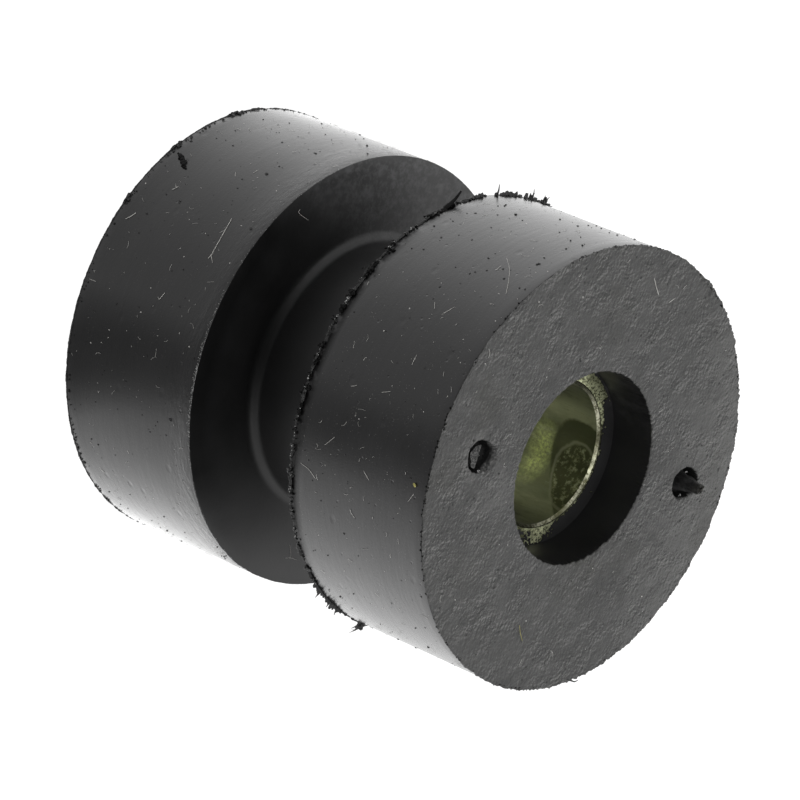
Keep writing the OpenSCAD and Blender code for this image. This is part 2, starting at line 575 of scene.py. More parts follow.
def rubber_face_material():
    """Matt leathery rubber of the end faces: bumped creases and ridges with painted light and shade on them,
    pits, painted sheen towards the +X rim, painted highlights by the low gate, painted shade in the hollows,
    and an olive cast in places.
    """
    material, tree = new_material("rubber_face")
    place = millimetres(tree)
    height = place.axis("Z")
    wrinkles = millimetres(tree, (1.0, 0.55, 1.0), 14.0).clouds(1.6, 4.0, 0.62)
    grain = millimetres(tree, (1.0, 0.5, 1.0), 10.0).clouds(4.4, 3.0, 0.66)
    cloud = place.clouds(0.22, 4.0)
    cast = millimetres(tree, turn=40.0).clouds(0.13, 2.0)
    pits = place.spots(0.75, 0.06, 0.05)
    # Painted sheen towards the +X rim, and painted highlights on the low gate's lip and the mound behind it
    dust_and_painted_light = (place.axis("X").rise(9.0, 21.0) * 0.46).most(gate_lip_light(place) * 0.38)
    # Painted light and shade: the lit and shaded sides of a noise relief, fixed in the colour, and painted
    # shade in the wrinkles' creases
    painted_relief = relief(millimetres(tree, (1.0, 0.85, 1.0), 6.0), 3.2, 3.0, (0.09, -0.05, 0.0))
    folds = relief(millimetres(tree, (1.0, 0.6, 1.0), 20.0), 0.8, 2.0, (0.35, -0.2, 0.0))
    painted_relief = painted_relief + folds * 0.35
    patches = place.clouds(0.45, 4.0).rise(0.38, 0.60).spread(0.25, 1.05)
    lit = painted_relief.rise(0.02, 0.18) * patches
    shaded = (painted_relief.rise(-0.02, -0.14) * patches).most(wrinkles.rise(0.38, 0.28))
    # Painted shade in the hollows below the face, the gate wells and the recess's mouth, with less gloss
    hollow = height.rise(BODY_H - 0.08, BODY_H - 0.50) * height.rise(DISC_T, GROOVE_HIGH)
    tint = blend(place.clouds(0.6).rise(0.35, 0.65), tinted(RUBBER_FACE, 0.85), tinted(RUBBER_FACE, 1.15))
    tint = blend(dust_and_painted_light, tint, RUBBER_FACE_LIT)
    tint = blend(shaded * 0.92, tint, RUBBER_FACE_DEEP)
    tint = blend(lit * 0.88, tint, RUBBER_FACE_LIT)
    tint = blend(cast.rise(0.55, 0.78) * 0.5, tint, RUBBER_OLIVE)
    tint = blend(cloud.rise(0.45, 0.3) * 0.4, tint, RUBBER_FACE_DEEP)
    tint = blend(pits, tint, RUBBER_DEEP)
    tint = blend(hollow, tint, RUBBER_DEEP)
    normal = bump(wrinkles, 0.34, 0.9)
    normal = bump(grain, 0.26, 1.0, normal)
    normal = bump(1.0 - pits, 0.08, 0.7, normal)
    return shade(material, Base_Color=tint, Normal=normal, Roughness=cloud.spread(0.58, 0.74),
                 Specular_IOR_Level=hollow.spread(RUBBER_GLOSS, HOLLOW_GLOSS))


def rubber_groove_material(name, base, gloss):
    """Rubber that no hand reaches: black, with faint flow marks, painted shade towards -X with a painted
    lighter band by the neck, and dust with painted light towards +Y.
    """
    material, tree = new_material(name)
    place = millimetres(tree)
    along, aside = place.axis("Y"), place.axis("X") * 0.5
    cloud = place.clouds(0.3, 4.0)
    # Dust with painted light towards +Y, in mottled patches
    dust_and_painted_light = (along + aside).rise(7.0, 15.0) * place.clouds(1.1, 6.0, 0.75).rise(0.44, 0.64)
    reach = place.vector("MULTIPLY", (1.0, 1.0, 0.0)).length()
    ahead = (abs(along) + aside).rise(9.0, 3.0)
    # Painted shade in the groove towards -X, out from the neck, with less gloss; by the neck a painted
    # lighter band
    groove_shade = reach.rise(NECK_R + 2.0, DISC_R - 1.5) * ahead
    neck_light = reach.rise(NECK_R + 2.6, NECK_R + 1.2) * ahead
    tint = blend(cloud.rise(0.3, 0.75), base, tinted(base, 1.8))
    tint = blend(groove_shade * 0.65, tint, RUBBER_GROOVE_SHADE)
    tint = blend(neck_light, tint, tinted(base, 2.2))
    tint = blend(dust_and_painted_light, tint, tinted(base, 9.0))
    return shade(material, Base_Color=tint, Normal=bump(place.clouds(3.0), 0.02, 0.5),
                 Roughness=cloud.spread(0.34, 0.5), Specular_IOR_Level=groove_shade.spread(gloss, 0.3 * gloss))


def torn_rubber_material(name, pale, gloss, fineness=3.2):
    """Torn flash and stubs: black and rough, with paler shreds, and olive tips above the upper face."""
    material, tree = new_material(name)
    place = millimetres(tree)
    shreds = place.clouds(fineness, 4.0, 0.7)
    tip = place.axis("Z").rise(BODY_H + 1.1, BODY_H + 1.9) * shreds.rise(0.35, 0.6)
    tint = blend(tip, blend(shreds.rise(0.42, 0.66), RUBBER_TORN, pale), RUBBER_OLIVE)
    return shade(material, Base_Color=tint, Normal=bump(shreds, 0.12, 0.9), Roughness=0.45,
                 Specular_IOR_Level=gloss)


def zinc_tint(place, pale, deep, speckle):
    """Mottled olive and lime of yellow passivated zinc, with its soft clouds and fine mottle."""
    cloud = place.clouds(0.35, 4.0, 0.6)
    mottle = place.clouds(4.2, 3.0, 0.7)
    tint = blend(cloud.rise(0.3, 0.7), deep, pale)
    tint = blend(mottle.rise(0.47, 0.60) * speckle, tint, deep)
    tint = blend(place.spots(4.0, 0.12, 0.12) * (speckle * 0.6), tint, ZINC_FLECK)
    return tint, cloud, mottle


def plate(material, tint, mottle, roughness):
    """Finishes a plated material: metallic, and finely mottled."""
    return shade(material, Base_Color=tint, Normal=bump(mottle, 0.012, 0.35), Roughness=roughness,
                 Metallic=1.0)


def zinc_material(name, pale, deep, roughness, speckle=0.97):
    """Yellow passivated zinc on steel: mottled olive and lime, with dark speckles."""
    material, tree = new_material(name)
    tint, cloud, mottle = zinc_tint(millimetres(tree), pale, deep, speckle)
    return plate(material, tint, mottle, cloud.spread(*roughness))


def bore_mark(place, angle, height, half_long, half_wide, tilt, ragged, power=2.4):
    """Distance from the middle of a rounded mark in the bore, 1 at its ragged edge; tilt in degrees."""
    arc = (place.turn() - math.radians(angle)) * BORE_R
    mark = Flow(place.tree, "CombineXYZ", 0, {"X": arc, "Y": place.axis("Z") - height})
    mark = mark.turned(-math.radians(tilt))
    reach = 0.0
    for side, half in (("X", half_long), ("Y", half_wide)):
        reach = abs(mark.axis(side).math("DIVIDE", half)) ** power + reach
    return reach ** (1.0 / power) + place.clouds(1.6).spread(-ragged, ragged)


def bore_material():
    """The bore's satin plating: olive, with a lime patch, painted light to both sides of its front, and a
    painted reflection of a dark oval with a mottled patch and a pale ring in it.
    """
    material, tree = new_material("zinc_bore")
    place = millimetres(tree)
    turn = place.turn()
    tint, cloud, mottle = zinc_tint(place, BORE_PALE, BORE_DEEP, 0.3)
    streaks = millimetres(tree, (1.6, 1.6, 0.4), 20.0).clouds(1.1, 5.0, 0.7)
    lime = bore_mark(place, -10.0, 33.8, 2.8, 1.4, 0.0, 0.35).rise(1.25, 0.35)
    # Painted light: the bore's wall paler to both sides of its front
    aside = turn.rise(0.28, 0.62).most(turn.rise(-0.50, -1.05) * 0.56)
    # Painted reflection: a dark oval, a mottled patch inside a second oval and a pale ring round that patch
    dark_reflection = bore_mark(place, -33.3, 42.4, 9.0, 3.85, -50.0, 0.03).rise(1.015, 0.975)
    inner = bore_mark(place, -20.0, 38.66, 2.27, 3.31, 56.0, 0.06)
    ring = inner.rise(1.10, 1.04) * inner.rise(0.94, 1.0)
    mottled_reflection = blend(place.clouds(1.7, 5.0, 0.72).rise(0.50, 0.68), REFLECTION_DEEP, REFLECTION_PALE)
    tint = blend(lime * place.clouds(3.4, 4.0, 0.75).rise(0.28, 0.58), tint, BORE_LIME)
    tint = blend(aside * 0.9, tint, BORE_STREAK_AND_LIT)
    tint = blend(streaks.rise(0.50, 0.70) * 0.50, tint, BORE_DEEP)
    tint = blend(streaks.rise(0.44, 0.28) * 0.35, tint, BORE_STREAK_AND_LIT)
    tint = blend(dark_reflection * 0.88, tint, BORE_REFLECTION_DARK)
    tint = blend(inner.rise(1.0, 0.9) * 0.92, tint, mottled_reflection)
    tint = blend(ring * 0.45, tint, REFLECTION_RING_PALE)
    return plate(material, tint, mottle, cloud.spread(0.24, 0.36))


def fibre_material(name, colour):
    """Lint, dust and the pale lumps that stand in for glints: matt and pale, with a soft sheen."""
    material, tree = new_material(name)
    tint = blend(millimetres(tree).clouds(1.5, 2.0), tinted(colour, 0.6), colour)
    return shade(material, Base_Color=tint, Roughness=0.8, Sheen_Weight=0.3)


SIDE = rubber_side_material()
FACE = rubber_face_material()
GROOVE = rubber_groove_material("rubber_groove", tinted(RUBBER_DEEP, 1.8), 0.45)
RECESS = rubber_groove_material("rubber_recess", tinted(RUBBER_DEEP, 1.5), 0.24)
FILM = rubber_groove_material("rubber_film", tinted(RUBBER_DEEP, 1.4), 0.18)
TORN = torn_rubber_material("rubber_torn", tinted(RUBBER_TORN, 4.5), 0.36)
TORN_BLACK = torn_rubber_material("rubber_torn_black", RUBBER_TORN, 0.06)
STUB_TOP = torn_rubber_material("rubber_stub_top", RUBBER_PALE, 0.2, 6.0)
BORE = bore_material()
LAND = zinc_material("zinc_land", (0.92, 0.96, 0.62), (0.05, 0.053, 0.025), (0.30, 0.45))
WORN = zinc_material("zinc_worn_edge", (0.44, 0.44, 0.33), (0.05, 0.05, 0.025), (0.25, 0.4))
GRIMY = zinc_material("zinc_grimy_edge", (0.075, 0.077, 0.05), (0.01, 0.01, 0.006), (0.35, 0.5))
LINT = fibre_material("lint_pale", (0.86, 0.84, 0.80))
# Pale grey for the lumps that stand in for glints, painted highlights, and for dust on the lower groove edge
GLINT_AND_DUST = fibre_material("rubber_glint_and_dust", (0.60, 0.60, 0.59))
LINT_YELLOW = fibre_material("lint_yellow", (0.50, 0.46, 0.14))


def gate_shape(x, y):
    """Height of the upper face near the two gates, and whether a place lies in a gate's torn well."""
    height, inside = 0.0, False
    for angle, near, far, north_half, south_half, fade in GATE_OPENINGS:
        gate_x, gate_y, _ = polar(GATE_R, angle, 0.0)
        across, along = x - gate_x, y - gate_y
        distance = math.hypot(across, along)
        if distance > 2.0 * GATE_REACH or distance < 1.0e-6:
            inside = inside or distance < 1.0e-6
            continue
        east, north = across / distance, along / distance
        half = north_half if north > 0.0 else south_half
        wander = 1.0 + 0.06 * waver(east, north, 2.0, angle) + 0.04 * waver(east, north, 5.0, angle + 3.0)
        edge = wander / math.hypot(east / (far if east > 0.0 else near), north / half)
        slope = wander / math.hypot(east / (fade if east > 0.0 else near), north / half)
        foot = edge * (0.93 - 0.21 * smooth_step(-0.3, 0.3, east))
        height -= WELL_DEPTH * (1.0 - smooth_step(foot, max(edge, slope), distance))
        height += 0.07 * math.exp(-((distance - slope - 0.18) / 0.2) ** 2) * (1.0 if east < 0.3 else 0.3)
        inside = inside or distance < 0.97 * edge
    return height, inside


def face_swell(x, y):
    """Gentle rise and fall of the moulded upper face, which is a little crowned, in millimetres."""
    mound = math.exp(-((x + 12.6) ** 2 + (y + 2.4) ** 2) / 9.0)
    crown = max(0.0, 1.0 - ((math.hypot(x, y) - GATE_R) / (DISC_R - GATE_R)) ** 2)
    return 0.05 * waver(x, y, 0.11, 3.7) + 0.018 * waver(x, y, 0.3, 8.1) + 0.10 * mound + FACE_CROWN * crown


def rubber_section():
    """Outline of the rubber's half section, run anticlockwise."""
    section = Outline()
    mouth = RECESS_MOUTH_R + MOUTH_ROUND
    root = NECK_R + NECK_FILLET
    rim = DISC_R - RIM_ROUND
    lip = DISC_R - GROOVE_ROUND
    outer, inner = GATE_R + GATE_REACH, GATE_R - GATE_REACH
    section.line(ZONE_END, (mouth, 0.0), (rim, 0.0), 12)
    section.arc(ZONE_SIDE, (rim, RIM_ROUND), RIM_ROUND, -90.0, 0.0, 3)
    section.line(ZONE_SIDE, (DISC_R, RIM_ROUND), (DISC_R, GROOVE_LOW - GROOVE_ROUND), 16)
    section.arc(ZONE_SIDE, (lip, GROOVE_LOW - GROOVE_ROUND), GROOVE_ROUND, 0.0, 90.0, 3)
    section.line(ZONE_GROOVE, (lip, GROOVE_LOW), (root, GROOVE_LOW), 8)
    section.arc(ZONE_GROOVE, (root, GROOVE_LOW + NECK_FILLET), NECK_FILLET, 270.0, 180.0, 8)
    section.line(ZONE_GROOVE, (NECK_R, GROOVE_LOW + NECK_FILLET), (NECK_R, GROOVE_HIGH - NECK_FILLET), 9)
    section.arc(ZONE_GROOVE, (root, GROOVE_HIGH - NECK_FILLET), NECK_FILLET, 180.0, 90.0, 8)
    section.line(ZONE_GROOVE, (root, GROOVE_HIGH), (lip, GROOVE_HIGH), 8)
    section.arc(ZONE_SIDE, (lip, GROOVE_HIGH + GROOVE_ROUND), GROOVE_ROUND, -90.0, 0.0, 3)
    section.line(ZONE_SIDE, (DISC_R, GROOVE_HIGH + GROOVE_ROUND), (DISC_R, BODY_H - RIM_ROUND), 16)
    section.arc(ZONE_END, (rim, BODY_H - RIM_ROUND), RIM_ROUND, 0.0, 90.0, 3)
    section.line(ZONE_END, (rim, BODY_H), (outer, BODY_H), 8)
    section.line(ZONE_END, (outer, BODY_H), (inner, BODY_H), 50)
    section.line(ZONE_END, (inner, BODY_H), (mouth, BODY_H), 7)
    section.arc(ZONE_END, (mouth, BODY_H - MOUTH_ROUND), MOUTH_ROUND, 90.0, 180.0, 4)
    section.line(ZONE_RECESS, (RECESS_MOUTH_R, BODY_H - MOUTH_ROUND), (RECESS_FLOOR_R, SLEEVE_TOP), 5)
    section.line(ZONE_RECESS, (RECESS_FLOOR_R, SLEEVE_TOP), (SLEEVE_R, SLEEVE_TOP), 1)
    section.line(ZONE_RECESS, (SLEEVE_R, SLEEVE_TOP), (SLEEVE_R, SLEEVE_FOOT), 1)
    section.line(ZONE_RECESS, (SLEEVE_R, SLEEVE_FOOT), (RECESS_FLOOR_R, SLEEVE_FOOT), 1)
    section.line(ZONE_RECESS, (RECESS_FLOOR_R, SLEEVE_FOOT), (RECESS_MOUTH_R, MOUTH_ROUND), 4)
    section.arc(ZONE_END, (mouth, MOUTH_ROUND), MOUTH_ROUND, 180.0, 270.0, 3)
    return section


def turned_angles(plain_step, gate_step, gate_reach):
    """Angles in degrees round the part, closer together across each gate."""
    angles = []
    for gate in (GATE_HIGH_ANGLE, GATE_LOW_ANGLE):
        fine = round(2.0 * gate_reach / gate_step)
        angles += [gate - gate_reach + 2.0 * gate_reach * step / fine for step in range(fine)]
        plain = round((180.0 - 2.0 * gate_reach) / plain_step)
        angles += [gate + gate_reach + (180.0 - 2.0 * gate_reach) * step / plain for step in range(plain)]
    return angles


def body_bulge(angle, z):
    """How far the moulding stands out of round at an angle and height, in millimetres."""
    bulge = 0.26 * math.exp(-(turn_between(angle, 0.0) / 15.0) ** 2) * smooth_step(37.0, BODY_H, z)
    if z > GROOVE_HIGH - 0.5:
        for centre, half, depth in RIM_BITES:
            near = math.exp(-((angle - centre) / half) ** 2)
            bulge -= depth * near * smooth_step(GROOVE_HIGH + 1.1, GROOVE_HIGH, z)
    return bulge


def rubber_body():
    """The moulded rubber: the CAD section turned about the axis, with gate wells, swell and waves."""
    section = rubber_section()
    angles = turned_angles(0.9, 0.26, 8.0)
    points, zones = [], []
    for radius, height, zone in section:
        for angle in angles:
            x, y, z = polar(radius, angle, height)
            here = zone
            if radius > NECK_R + NECK_FILLET:
                wave = 1.0 + 0.0022 * noise.noise((x * 0.12, y * 0.12, z * 0.2))
                wave += body_bulge(angle, z) * smooth_step(17.5, DISC_R, radius) / radius
                x, y = x * wave, y * wave
            if abs(radius - RECESS_MOUTH_R) < 0.5 and height > BODY_H - 0.5:
                nibble = 1.0 + 0.15 * waver(x, y, 4.5, 2.0) / radius
                x, y = x * nibble, y * nibble
            if height > BODY_H - 1.0e-6 and radius > RECESS_MOUTH_R:
                fade = smooth_step(DISC_R, DISC_R - 0.8, radius)
                fade *= smooth_step(RECESS_MOUTH_R, RECESS_MOUTH_R + 0.8, radius)
                drop, inside = gate_shape(x, y)
                z += drop + fade * face_swell(x, y)
                here = ZONE_WELL if inside else zone
            points.append((x, y, z))
            zones.append(here)
    body = add_piece("rubber_moulding", points, grid_faces(len(section), len(angles)),
                     [SIDE, FACE, GROOVE, RECESS, TORN_BLACK], zones)
    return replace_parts(body, "rubber_body")


def sleeve():
    """The plated steel sleeve: a plain tube with a worn chamfer on its bore's edge at each end."""
    section = Outline()
    columns = 360
    inner, middle = BORE_R + BORE_CHAMFER, BORE_R + 0.75 * BORE_CHAMFER
    bore_top, bore_foot = SLEEVE_TOP - BORE_CHAMFER, SLEEVE_FOOT + BORE_CHAMFER
    edge_top = SLEEVE_TOP - 0.25 * BORE_CHAMFER
    section.line(SLEEVE_LAND, (inner, SLEEVE_FOOT), (SLEEVE_R, SLEEVE_FOOT), 4)
    section.line(SLEEVE_LAND, (SLEEVE_R, SLEEVE_FOOT), (SLEEVE_R, SLEEVE_TOP), 2)
    section.line(SLEEVE_LAND, (SLEEVE_R, SLEEVE_TOP), (inner, SLEEVE_TOP), 6)
    section.line(SLEEVE_GRIME, (inner, SLEEVE_TOP), (middle, edge_top), 2)
    section.line(SLEEVE_EDGE, (middle, edge_top), (BORE_R, bore_top), 2)
    section.line(BORE_WALL, (BORE_R, bore_top), (BORE_R, bore_foot), 36)
    section.line(SLEEVE_EDGE, (BORE_R, bore_foot), (inner, SLEEVE_FOOT), 3)
    points, zones = [], []
    for radius, height, zone in section:
        for column in range(columns):
            x, y, z = polar(radius, 360.0 * column / columns, height)
            if zone in (SLEEVE_EDGE, SLEEVE_GRIME):
                wear = noise.noise((x * 1.1, y * 1.1, z * 1.1))
                z -= 0.05 * max(0.0, wear) * (1.0 if height > DISC_T else -1.0)
            points.append((x, y, z))
            zones.append(zone)
    tube = add_piece("plated_sleeve", points, grid_faces(len(section), columns), [BORE, LAND, WORN, GRIMY],
                     zones, 25.0)
    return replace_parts(tube, "inner_sleeve")


class Batch:
    """Points and faces of small closed shapes that make up one piece of rubber or dirt, in millimetres."""

    def __init__(self):
        self.points = []
        self.faces = []

    def add(self, points, faces):
        start = len(self.points)
        self.points += [tuple(p) for p in points]
        self.faces += [tuple(start + i for i in face) for face in faces]

    def make(self, name, material):
        return add_piece(name, self.points, self.faces, [material])


def sight(pixel):
    """The camera's place and its line of sight through a pixel of the photograph, in millimetres."""
    right, up, back = camera_axes()
    across = (pixel[0] - IMAGE_SIZE / 2.0) / FOCAL_PIXELS
    down = (pixel[1] - IMAGE_SIZE / 2.0) / FOCAL_PIXELS
    return (CAMERA_AIM + back * CAMERA_DISTANCE) / MM, (right * across - up * down - back).normalized()


def on_level(pixel, level):
    """The point at a pixel on a level plane."""
    eye, ray = sight(pixel)
    return eye + ray * ((level - eye.z) / ray.z)


def on_drum(pixel, radius):
    """The nearest point at a pixel on an upright cylinder round the axis, or None beside it."""
    eye, ray = sight(pixel)
    a = ray.x ** 2 + ray.y ** 2
    b = eye.x * ray.x + eye.y * ray.y
    inside = b * b - a * (eye.x ** 2 + eye.y ** 2 - radius ** 2)
    if inside < 0.0:
        return None
    return eye + ray * ((-b - math.sqrt(inside)) / a)


def level_way(point):
    """The way out from the axis at a point."""
    return Vector((point.x, point.y, 0.0)).normalized()


def seen_point(pixel):
    """The point of the rubber at a pixel of the photograph, and the way out of its surface there."""
    face = on_level(pixel, BODY_H)
    if math.hypot(face.x, face.y) < DISC_R:
        return on_level(pixel, BODY_H + face_swell(face.x, face.y)), UP
    side = on_drum(pixel, DISC_R)
    if side and (GROOVE_HIGH < side.z or 0.0 < side.z < GROOVE_LOW):
        return side, level_way(side)
    floor = on_level(pixel, GROOVE_LOW)
    if math.hypot(floor.x, floor.y) > NECK_R:
        return floor, UP
    neck = on_drum(pixel, NECK_R)
    return neck, level_way(neck)


def rim_place(past, angle, level):
    """A point on or past a disc's side, and the way out there."""
    return Vector(polar(DISC_R + past, angle, level)), outward(angle)


def rim_pixel(pixel, seen_level, past, level):
    """The same for the angle that a pixel of the photograph shows on a level."""
    way = level_way(on_level(pixel, seen_level))
    return way * (DISC_R + past) + Vector((0.0, 0.0, level)), way


def tube(batch, path, radii, sides=5):
    """A round closed tube along a path of points, with a radius at each."""
    points = []
    count = len(path)
    side = Vector((0.31, 0.17, 0.93))
    for index, point in enumerate(path):
        ahead = (path[min(index + 1, count - 1)] - path[max(index - 1, 0)]).normalized()
        side = (side - ahead * side.dot(ahead)).normalized()
        other = ahead.cross(side)
        for step in range(sides):
            turn = 2.0 * math.pi * step / sides
            points.append(point + (side * math.cos(turn) + other * math.sin(turn)) * radii[index])
    batch.add(points, stack_faces(count, sides))


def lump(batch, centre, out, size, flat, seed):
    """A small torn crumb: a rough ball, flattened along the way out of the surface that it sits on."""
    around = out.orthogonal().normalized()
    beside = out.cross(around)
    rows, sides = 5, 8
    points = []
    for row in range(1, rows):
        tilt = math.pi * row / rows
        for step in range(sides):
            turn = 2.0 * math.pi * step / sides
            way = (around * math.cos(turn) + beside * math.sin(turn)) * math.sin(tilt)
            rough = noise.noise(way * 1.7 + out * math.cos(tilt) + Vector((seed, 0.0, seed)))
            reach = size * (1.0 + 0.55 * rough)
            points.append(centre + way * reach + out * (math.cos(tilt) * reach * flat))
    batch.add(points, flipped(stack_faces(rows - 1, sides)))


def roughness_along(angle, pitch, seed):
    """Ragged height from about 0 to 1 along a rim, with teeth about a pitch in millimetres apart."""
    x, y, _ = polar(DISC_R / pitch, angle, 0.0)
    coarse, middle, fine = waver(x, y, 0.3, seed), waver(x, y, 0.9, seed + 5.0), waver(x, y, 2.2, seed + 8.0)
    return max(0.06, 0.5 + 0.55 * coarse + 0.45 * middle + 0.3 * fine)


def fringe_reach(angle, tufts):
    """How far a rim's tufts of flash stand out at an angle; each is an angle, a half width and a height."""
    reach = 0.0
    for centre, half, height in tufts:
        away = abs(turn_between(angle, centre))
        reach = max(reach, height * smooth_step(half * 1.25, half * 0.75, away))
    return reach


def fringe(batch, level, body_above, plain, tufts, pitch, seed, gap=NO_GAP):
    """Thin ragged flash along a disc's rim; body_above says on which side of the level the disc lies."""
    count = 2400
    inward = 1.0 if body_above else -1.0
    points = []
    for step in range(count):
        angle = 360.0 * step / count
        ragged = roughness_along(angle, pitch, seed)
        reach = plain * ragged + fringe_reach(angle, tufts) * min(1.15, 0.45 + 0.75 * ragged)
        if abs(angle - gap[0]) < gap[1]:
            reach = 0.0
        x, y, _ = polar(2.0, angle, 0.0)
        tip_level = max(FLASH_HALF, level + 0.5 * waver(x, y, 6.0, seed + 9.0) * reach)
        tip_angle = angle + 0.9 * waver(x, y, 9.0, seed + 13.0) * reach
        root, tip = DISC_R - 0.13, DISC_R - 0.02 + reach
        points.append(polar(root, angle, level + 0.14 * inward))
        points.append(polar(root, angle, level + 0.02 * inward))
        points.append(polar(tip, tip_angle, tip_level - FLASH_HALF))
        points.append(polar(tip, tip_angle, tip_level + FLASH_HALF))
    faces = grid_faces(count, 4)
    batch.add(points, faces if body_above else flipped(faces))


def shard(batch, angle, length, width, lean, lift, seed):
    """A torn blade of flash: it stands out from the groove edge, leans along it and lifts off its plane."""
    out, along = outward(angle), outward(angle + 90.0)
    root = Vector(polar(DISC_R - 0.1, angle, GROOVE_HIGH + 0.06))
    points = []
    stages = (0.0, 0.25, 0.5, 0.75, 1.0)
    for index, share in enumerate(stages):
        part = 1.0 - (1.0 - SHARD_TIP) * share ** 1.4
        wander = 0.3 * width * noise.noise((seed * 3.1, index * 1.7, 0.5))
        spine = root + out * (length * share) + along * (lean * share * share + wander)
        spine = spine + UP * (lift * share * share)
        half = 0.5 * width * part * (1.0 + 0.5 * noise.noise((seed * 1.9, index * 2.3, 4.5)))
        thick = 0.02 + 0.10 * part
        points += [spine - along * half, spine - UP * thick, spine + along * half, spine + UP * thick]
    batch.add(points, flipped(stack_faces(len(stages), 4)))


def torn_clump(batch, draw, centre, half, height):
    """Crumbs that thicken the foot of a tuft of flash on the groove edge."""
    for _ in range(max(2, round(half * 2.5))):
        angle = centre + half * draw.uniform(-1.0, 1.0)
        place = rim_place(height * draw.uniform(-0.15, 0.25), angle, GROOVE_HIGH + draw.uniform(-0.12, 0.06))
        lump(batch, *place, draw.uniform(0.06, 0.16), 0.9, draw.uniform(*SEEDS))


def rim_crumbs(batch, draw, level, count, low, high, size, gap=NO_GAP):
    """Torn crumbs along a rim, in loose clumps; low and high give the heights that they keep to."""
    made = 0
    while made < count:
        angle = draw.uniform(0.0, 360.0)
        x, y, _ = polar(3.0, angle, 0.0)
        if waver(x, y, 2.0, level) < draw.uniform(-0.5, 0.4) or abs(angle - gap[0]) < gap[1]:
            continue
        place = rim_place(draw.uniform(-0.06, 0.05), angle, level + draw.uniform(low, high))
        lump(batch, *place, draw.uniform(0.4, 1.0) * size, 0.8, draw.uniform(*SEEDS))
        made += 1


def groove_flash(draw):
    """Heavy flash on the upper disc's groove edge: a fringe, its tufts' thick feet, blades and crumbs."""
    groove = Batch()
    fringe(groove, GROOVE_HIGH, True, 0.06, GROOVE_TUFTS, 0.30, 1.0, FLASH_GAP)
    for tuft in GROOVE_TUFTS:
        torn_clump(groove, draw, *tuft)
    for angle, past, size in FLASH_BLOCK:
        lump(groove, *rim_place(past, angle, GROOVE_HIGH), size, 1.1, 90.0 * size)
    for index, blade in enumerate(GROOVE_SHARDS):
        shard(groove, *blade, index)
    rim_crumbs(groove, draw, GROOVE_HIGH, 480, -0.12, 0.14, 0.12, FLASH_GAP)
    groove.make("flash_upper_groove_rim", TORN)


def torn_edge(draw):
    """Clumps of crumbs where that edge is torn, a strip that hangs loose, and a nick on the lower rim."""
    black, grey = Batch(), Batch()
    for centre, size in EDGE_CLUMPS:
        for _ in range(CLUMP_CRUMBS):
            angle = centre + draw.gauss(0.0, 0.8)
            place = rim_place(draw.uniform(-0.05, 0.08), angle, GROOVE_HIGH + draw.gauss(0.05, 0.17))
            batch = black if centre < GREY_EDGE else grey
            lump(batch, *place, size * draw.uniform(0.35, 1.0), 0.8, draw.uniform(*SEEDS))
    grey.make("flash_torn_clumps", TORN)
    flap = [Vector(polar(radius, angle, GROOVE_HIGH + 0.05)) for angle, radius in TORN_FLAP]
    tube(black, flap, FLAP_RADII, 7)
    for pixel, size in FLAP_CRUMBS:
        lump(black, *rim_pixel(pixel, GROOVE_HIGH, 0.02, GROOVE_HIGH), size, 0.9, 40.0 * size)
    for pixel, size in NICK_CRUMBS:
        lump(black, *seen_point(pixel), size, 0.7, 20.0 * size)
    black.make("flash_torn_flap", TORN_BLACK)


def torn_glints(draw):
    """Pale matt lumps on that edge and at the gates that stand in for glints, as painted highlights."""
    glints = Batch()
    for _ in range(EDGE_GLINTS):
        angle = draw.choice(EDGE_CLUMPS)[0] + draw.uniform(-1.6, 1.6)
        place = rim_place(draw.uniform(-0.04, 0.10), angle, GROOVE_HIGH + draw.uniform(-0.10, 0.08))
        lump(glints, *place, draw.uniform(*GLINT_SIZES), 0.9, draw.uniform(*SEEDS))
    for pixel, level in GATE_GLINTS:
        for _ in range(GATE_GLINT_COUNT):
            near = tuple(value + draw.uniform(-1.6, 1.6) for value in pixel)
            lump(glints, on_level(near, BODY_H + level), UP, draw.uniform(*GLINT_SIZES), 0.7, near[0])
    glints.make("flash_torn_glints", GLINT_AND_DUST)


def upper_rim(draw):
    """Fine flash, crumbs and one hair on the upper face's rim."""
    flash, bits = Batch(), Batch()
    fringe(flash, BODY_H, False, 0.20, UPPER_TUFTS, 0.32, 2.0)
    flash.make("flash_upper_rim", FACE)
    rim_crumbs(bits, draw, BODY_H, 420, -0.22, -0.02, 0.11)
    tube(bits, [on_level(pixel, BODY_H - 0.15) for pixel in RIM_HAIR], HAIR_RADII, 6)
    bits.make("crumbs_upper_rim", TORN_BLACK)


def lower_rims(draw):
    """Fine flash and crumbs on the lower face's rim, and flash and dust on the lower disc's groove edge."""
    lower, seat, dust_and_painted_light = Batch(), Batch(), Batch()
    fringe(lower, 0.0, True, 0.12, LOWER_TUFTS, 0.4, 3.0)
    rim_crumbs(lower, draw, 0.18, 260, 0.0, 0.3, 0.11)
    for pixel, size in LOWER_RIM_CRUMBS:
        lump(lower, *rim_pixel(pixel, 0.15, 0.0, 0.3), size, 0.9, 30.0 * size)
    lower.make("flash_lower_rim", TORN)
    fringe(seat, GROOVE_LOW, False, 0.04, SEAT_TUFTS, 0.35, 4.0)
    seat.make("flash_lower_groove_rim", SIDE)
    for _ in range(DUSTY_RIM_BITS):
        angle = draw.uniform(118.0, 246.0) if draw.random() < 0.5 else draw.gauss(192.0, 10.0)
        place = rim_place(-abs(draw.gauss(0.0, 0.03)), angle, GROOVE_LOW - abs(draw.gauss(0.0, 0.12)))
        lump(dust_and_painted_light, *place, draw.uniform(0.012, 0.036), 0.9, draw.uniform(*SEEDS))
    dust_and_painted_light.make("dust_lower_groove_rim", GLINT_AND_DUST)


def rim_flash():
    """Torn flash on the four rims: heavy on the upper disc's groove edge, fine on the others."""
    draw = random.Random(28)
    for dress in (groove_flash, torn_edge, torn_glints, upper_rim, lower_rims):
        dress(draw)


